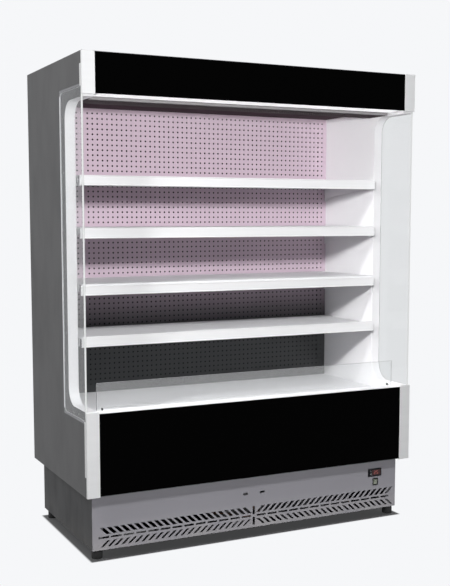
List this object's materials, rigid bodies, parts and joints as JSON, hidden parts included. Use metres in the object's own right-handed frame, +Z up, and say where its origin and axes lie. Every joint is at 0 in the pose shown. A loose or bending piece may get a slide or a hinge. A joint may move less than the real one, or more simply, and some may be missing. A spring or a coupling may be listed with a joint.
{
  "type": "open multideck display fridge",
  "caption": "Free-standing open-front chilled wall cabinet with shelves, side windows, a night blind in the header and a condensing unit in the plinth.",
  "frame": {"origin": "on the floor under the middle of the cabinet", "axes": "+X to the right seen from the front, +Y to the back, +Z up; the open front faces -Y"},
  "size_m": [1.5, 0.75, 1.946],
  "materials": {
    "exterior_paint": "satin",
    "white_liner": "satin",
    "pane_glass": "clear",
    "riser_pane": "clear",
    "bright_trim": "satin",
    "zinc_sheet": "galvanised",
    "black_panel": "gloss",
    "white_cap": "satin",
    "white_sheet": "satin powder coat",
    "lamp_diffuser": "opal",
    "perforated_sheet": "satin powder coat",
    "discharge_comb": "matt",
    "price_rail": "satin",
    "upright_steel": "satin",
    "roller_tube": "satin",
    "blind_fabric": "woven",
    "blind_bar": "satin",
    "plinth_paint": "satin",
    "base_steel": "galvanised",
    "coil_metal": "finned",
    "fan_plastic": "matt",
    "compressor_paint": "gloss",
    "black_plastic": "satin",
    "lit_green": "translucent",
    "foot_plastic": "matt"
  },
  "bodies": {
    "cabinet": {"left_end_skin": "exterior_paint", "right_end_skin": "exterior_paint", "left_end_wall": "white_liner", "right_end_wall": "white_liner", "left_side_glass": "pane_glass", "right_side_glass": "pane_glass", "riser_glass": "riser_pane", "left_pane_trim": "bright_trim", "right_pane_trim": "bright_trim", "rear_panel": "zinc_sheet", "roof_panel": "zinc_sheet", "evaporator_fan_plate": "zinc_sheet", "header_front_panel": "black_panel", "lower_front_panel": "black_panel", "left_header_cap": "white_cap", "right_header_cap": "white_cap", "left_lower_cap": "white_cap", "right_lower_cap": "white_cap", "header_housing": "white_sheet", "canopy_ceiling": "white_sheet", "front_sill": "white_sheet", "display_deck": "white_sheet", "return_air_grille": "white_sheet", "shelf_1": "white_sheet", "shelf_2": "white_sheet", "shelf_3": "white_sheet", "shelf_4": "white_sheet", "header_lamp": "lamp_diffuser", "perforated_back_panel": "perforated_sheet", "air_discharge_grille": "discharge_comb", "price_rail_1": "price_rail", "price_rail_2": "price_rail", "price_rail_3": "price_rail", "price_rail_4": "price_rail", "shelf_uprights": "upright_steel", "blind_cloth": "blind_fabric", "plinth_front_panel": "plinth_paint", "plinth_surround": "plinth_paint", "base_frame": "base_steel", "insulated_body": "base_steel", "condenser": "coil_metal", "evaporator": "coil_metal", "condenser_fan_shroud": "fan_plastic", "drain_tray": "fan_plastic", "compressor": "compressor_paint", "controller_bezel": "black_plastic", "switch_frame": "black_plastic", "cable_gland": "black_plastic"},
    "switch_rocker": {"rocker_switch": "lit_green"},
    "key_up": {"controller_key_up": "black_plastic"},
    "key_down": {"controller_key_down": "black_plastic"},
    "evaporator_rotor_left": {"left_evaporator_fan": "fan_plastic"},
    "evaporator_rotor_right": {"right_evaporator_fan": "fan_plastic"},
    "condenser_rotor": {"condenser_fan": "fan_plastic"},
    "blind_bar": {"blind_pull_bar": "blind_bar"},
    "blind_tube": {"blind_roller": "roller_tube"},
    "foot_fl": {"foot_front_left": "foot_plastic"},
    "foot_fr": {"foot_front_right": "foot_plastic"},
    "foot_rl": {"foot_rear_left": "foot_plastic"},
    "foot_rr": {"foot_rear_right": "foot_plastic"}
  },
  "joints": [
    {"name": "power_switch", "type": "hinge", "parent": "cabinet", "child": "switch_rocker", "pos_m": [0.607, -0.322, 0.159], "axis": [1, 0, 0], "range_deg": [-16, 0]},
    {"name": "key_up_press", "type": "slide", "parent": "cabinet", "child": "key_up", "axis": [0, 1, 0], "range_m": [0, 0.0006], "stiffness_N_per_m": 300, "springref_m": -0.001},
    {"name": "key_down_press", "type": "slide", "parent": "cabinet", "child": "key_down", "axis": [0, 1, 0], "range_m": [0, 0.0006], "stiffness_N_per_m": 300, "springref_m": -0.001},
    {"name": "evaporator_fan_left_spin", "type": "hinge", "parent": "cabinet", "child": "evaporator_rotor_left", "pos_m": [-0.3, -0.134, 0.425], "axis": [0, 1, 0], "continuous": true},
    {"name": "evaporator_fan_right_spin", "type": "hinge", "parent": "cabinet", "child": "evaporator_rotor_right", "pos_m": [0.3, -0.134, 0.425], "axis": [0, 1, 0], "continuous": true},
    {"name": "condenser_fan_spin", "type": "hinge", "parent": "cabinet", "child": "condenser_rotor", "pos_m": [0.26, -0.192, 0.14], "axis": [0, 1, 0], "continuous": true},
    {"name": "blind_draw", "type": "slide", "parent": "cabinet", "child": "blind_bar", "axis": [0, 0, -1], "range_m": [0, 1.08], "stiffness_N_per_m": 8, "springref_m": -1.6, "deforming": ["blind_cloth"]},
    {"name": "blind_roll", "type": "hinge", "parent": "cabinet", "child": "blind_tube", "pos_m": [0, -0.277, 1.85], "axis": [-1, 0, 0], "range_deg": [0, 3000]},
    {"name": "foot_fl_turn", "type": "hinge", "parent": "cabinet", "child": "foot_fl", "pos_m": [-0.69, -0.3, 0.02], "axis": [0, 0, 1], "range_deg": [-1440, 1440]},
    {"name": "foot_fr_turn", "type": "hinge", "parent": "cabinet", "child": "foot_fr", "pos_m": [0.69, -0.3, 0.02], "axis": [0, 0, 1], "range_deg": [-1440, 1440]},
    {"name": "foot_rl_turn", "type": "hinge", "parent": "cabinet", "child": "foot_rl", "pos_m": [-0.69, 0.3, 0.02], "axis": [0, 0, 1], "range_deg": [-1440, 1440]},
    {"name": "foot_rr_turn", "type": "hinge", "parent": "cabinet", "child": "foot_rr", "pos_m": [0.69, 0.3, 0.02], "axis": [0, 0, 1], "range_deg": [-1440, 1440]}
  ],
  "couplings": [
    {"joint": "blind_roll", "follows": "blind_draw", "rad_per_m": 48.4}
  ]
}
